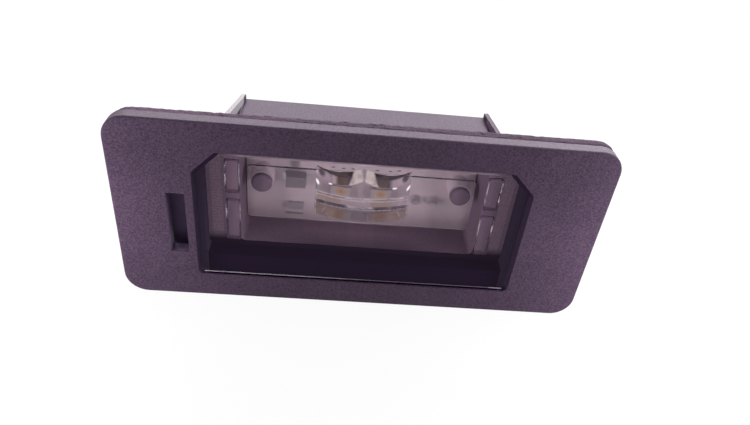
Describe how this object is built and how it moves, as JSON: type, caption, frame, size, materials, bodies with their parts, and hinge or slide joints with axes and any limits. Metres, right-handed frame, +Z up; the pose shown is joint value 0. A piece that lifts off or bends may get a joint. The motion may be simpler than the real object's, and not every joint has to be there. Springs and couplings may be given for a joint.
{
  "type": "number plate lamp",
  "caption": "Clip-in car number plate lamp: black flanged housing with a flush clear cover, lit board and optic inside, foam seal, snap arms and a rear plug socket.",
  "frame": {"origin": "middle of the opening in the car's panel, on the plane where the foam seal's rear face meets the panel", "axes": "+X to the right along the lamp as seen from its lit face, +Y from the lit face into the car, +Z up the face"},
  "size_m": [0.092, 0.0275, 0.0396],
  "materials": {
    "housing_plastic": "satin, finely grained",
    "seal_foam": "matt closed-cell foam",
    "cover_clear": "polished clear plastic",
    "optic_clear": "polished clear plastic",
    "board_white": "matt white solder mask",
    "led_case": "smooth white moulding",
    "led_phosphor": "smooth yellow resin",
    "tinned_metal": "matt tin",
    "component_epoxy": "matt moulded epoxy",
    "resistor_glaze": "smooth glaze",
    "capacitor_ceramic": "matt ceramic",
    "contact_metal": "tinned, drawn along its length",
    "solder": "bright, softly rounded"
  },
  "bodies": {
    "root": {"bypass_capacitor": "capacitor_ceramic", "bypass_capacitor_caps": "tinned_metal", "circuit_board": "board_white", "contact_left": "contact_metal", "contact_right": "contact_metal", "cover_lens": "cover_clear", "diode_feet": "tinned_metal", "housing": "housing_plastic", "inner_optic": "optic_clear", "led_package_left": "led_case", "led_package_right": "led_case", "led_phosphor_left": "led_phosphor", "led_phosphor_right": "led_phosphor", "led_terminals_left": "tinned_metal", "led_terminals_right": "tinned_metal", "panel_seal": "seal_foam", "rectifier_diode": "component_epoxy", "series_resistor": "resistor_glaze", "series_resistor_caps": "tinned_metal", "solder_joints": "solder"}
  },
  "joints": []
}
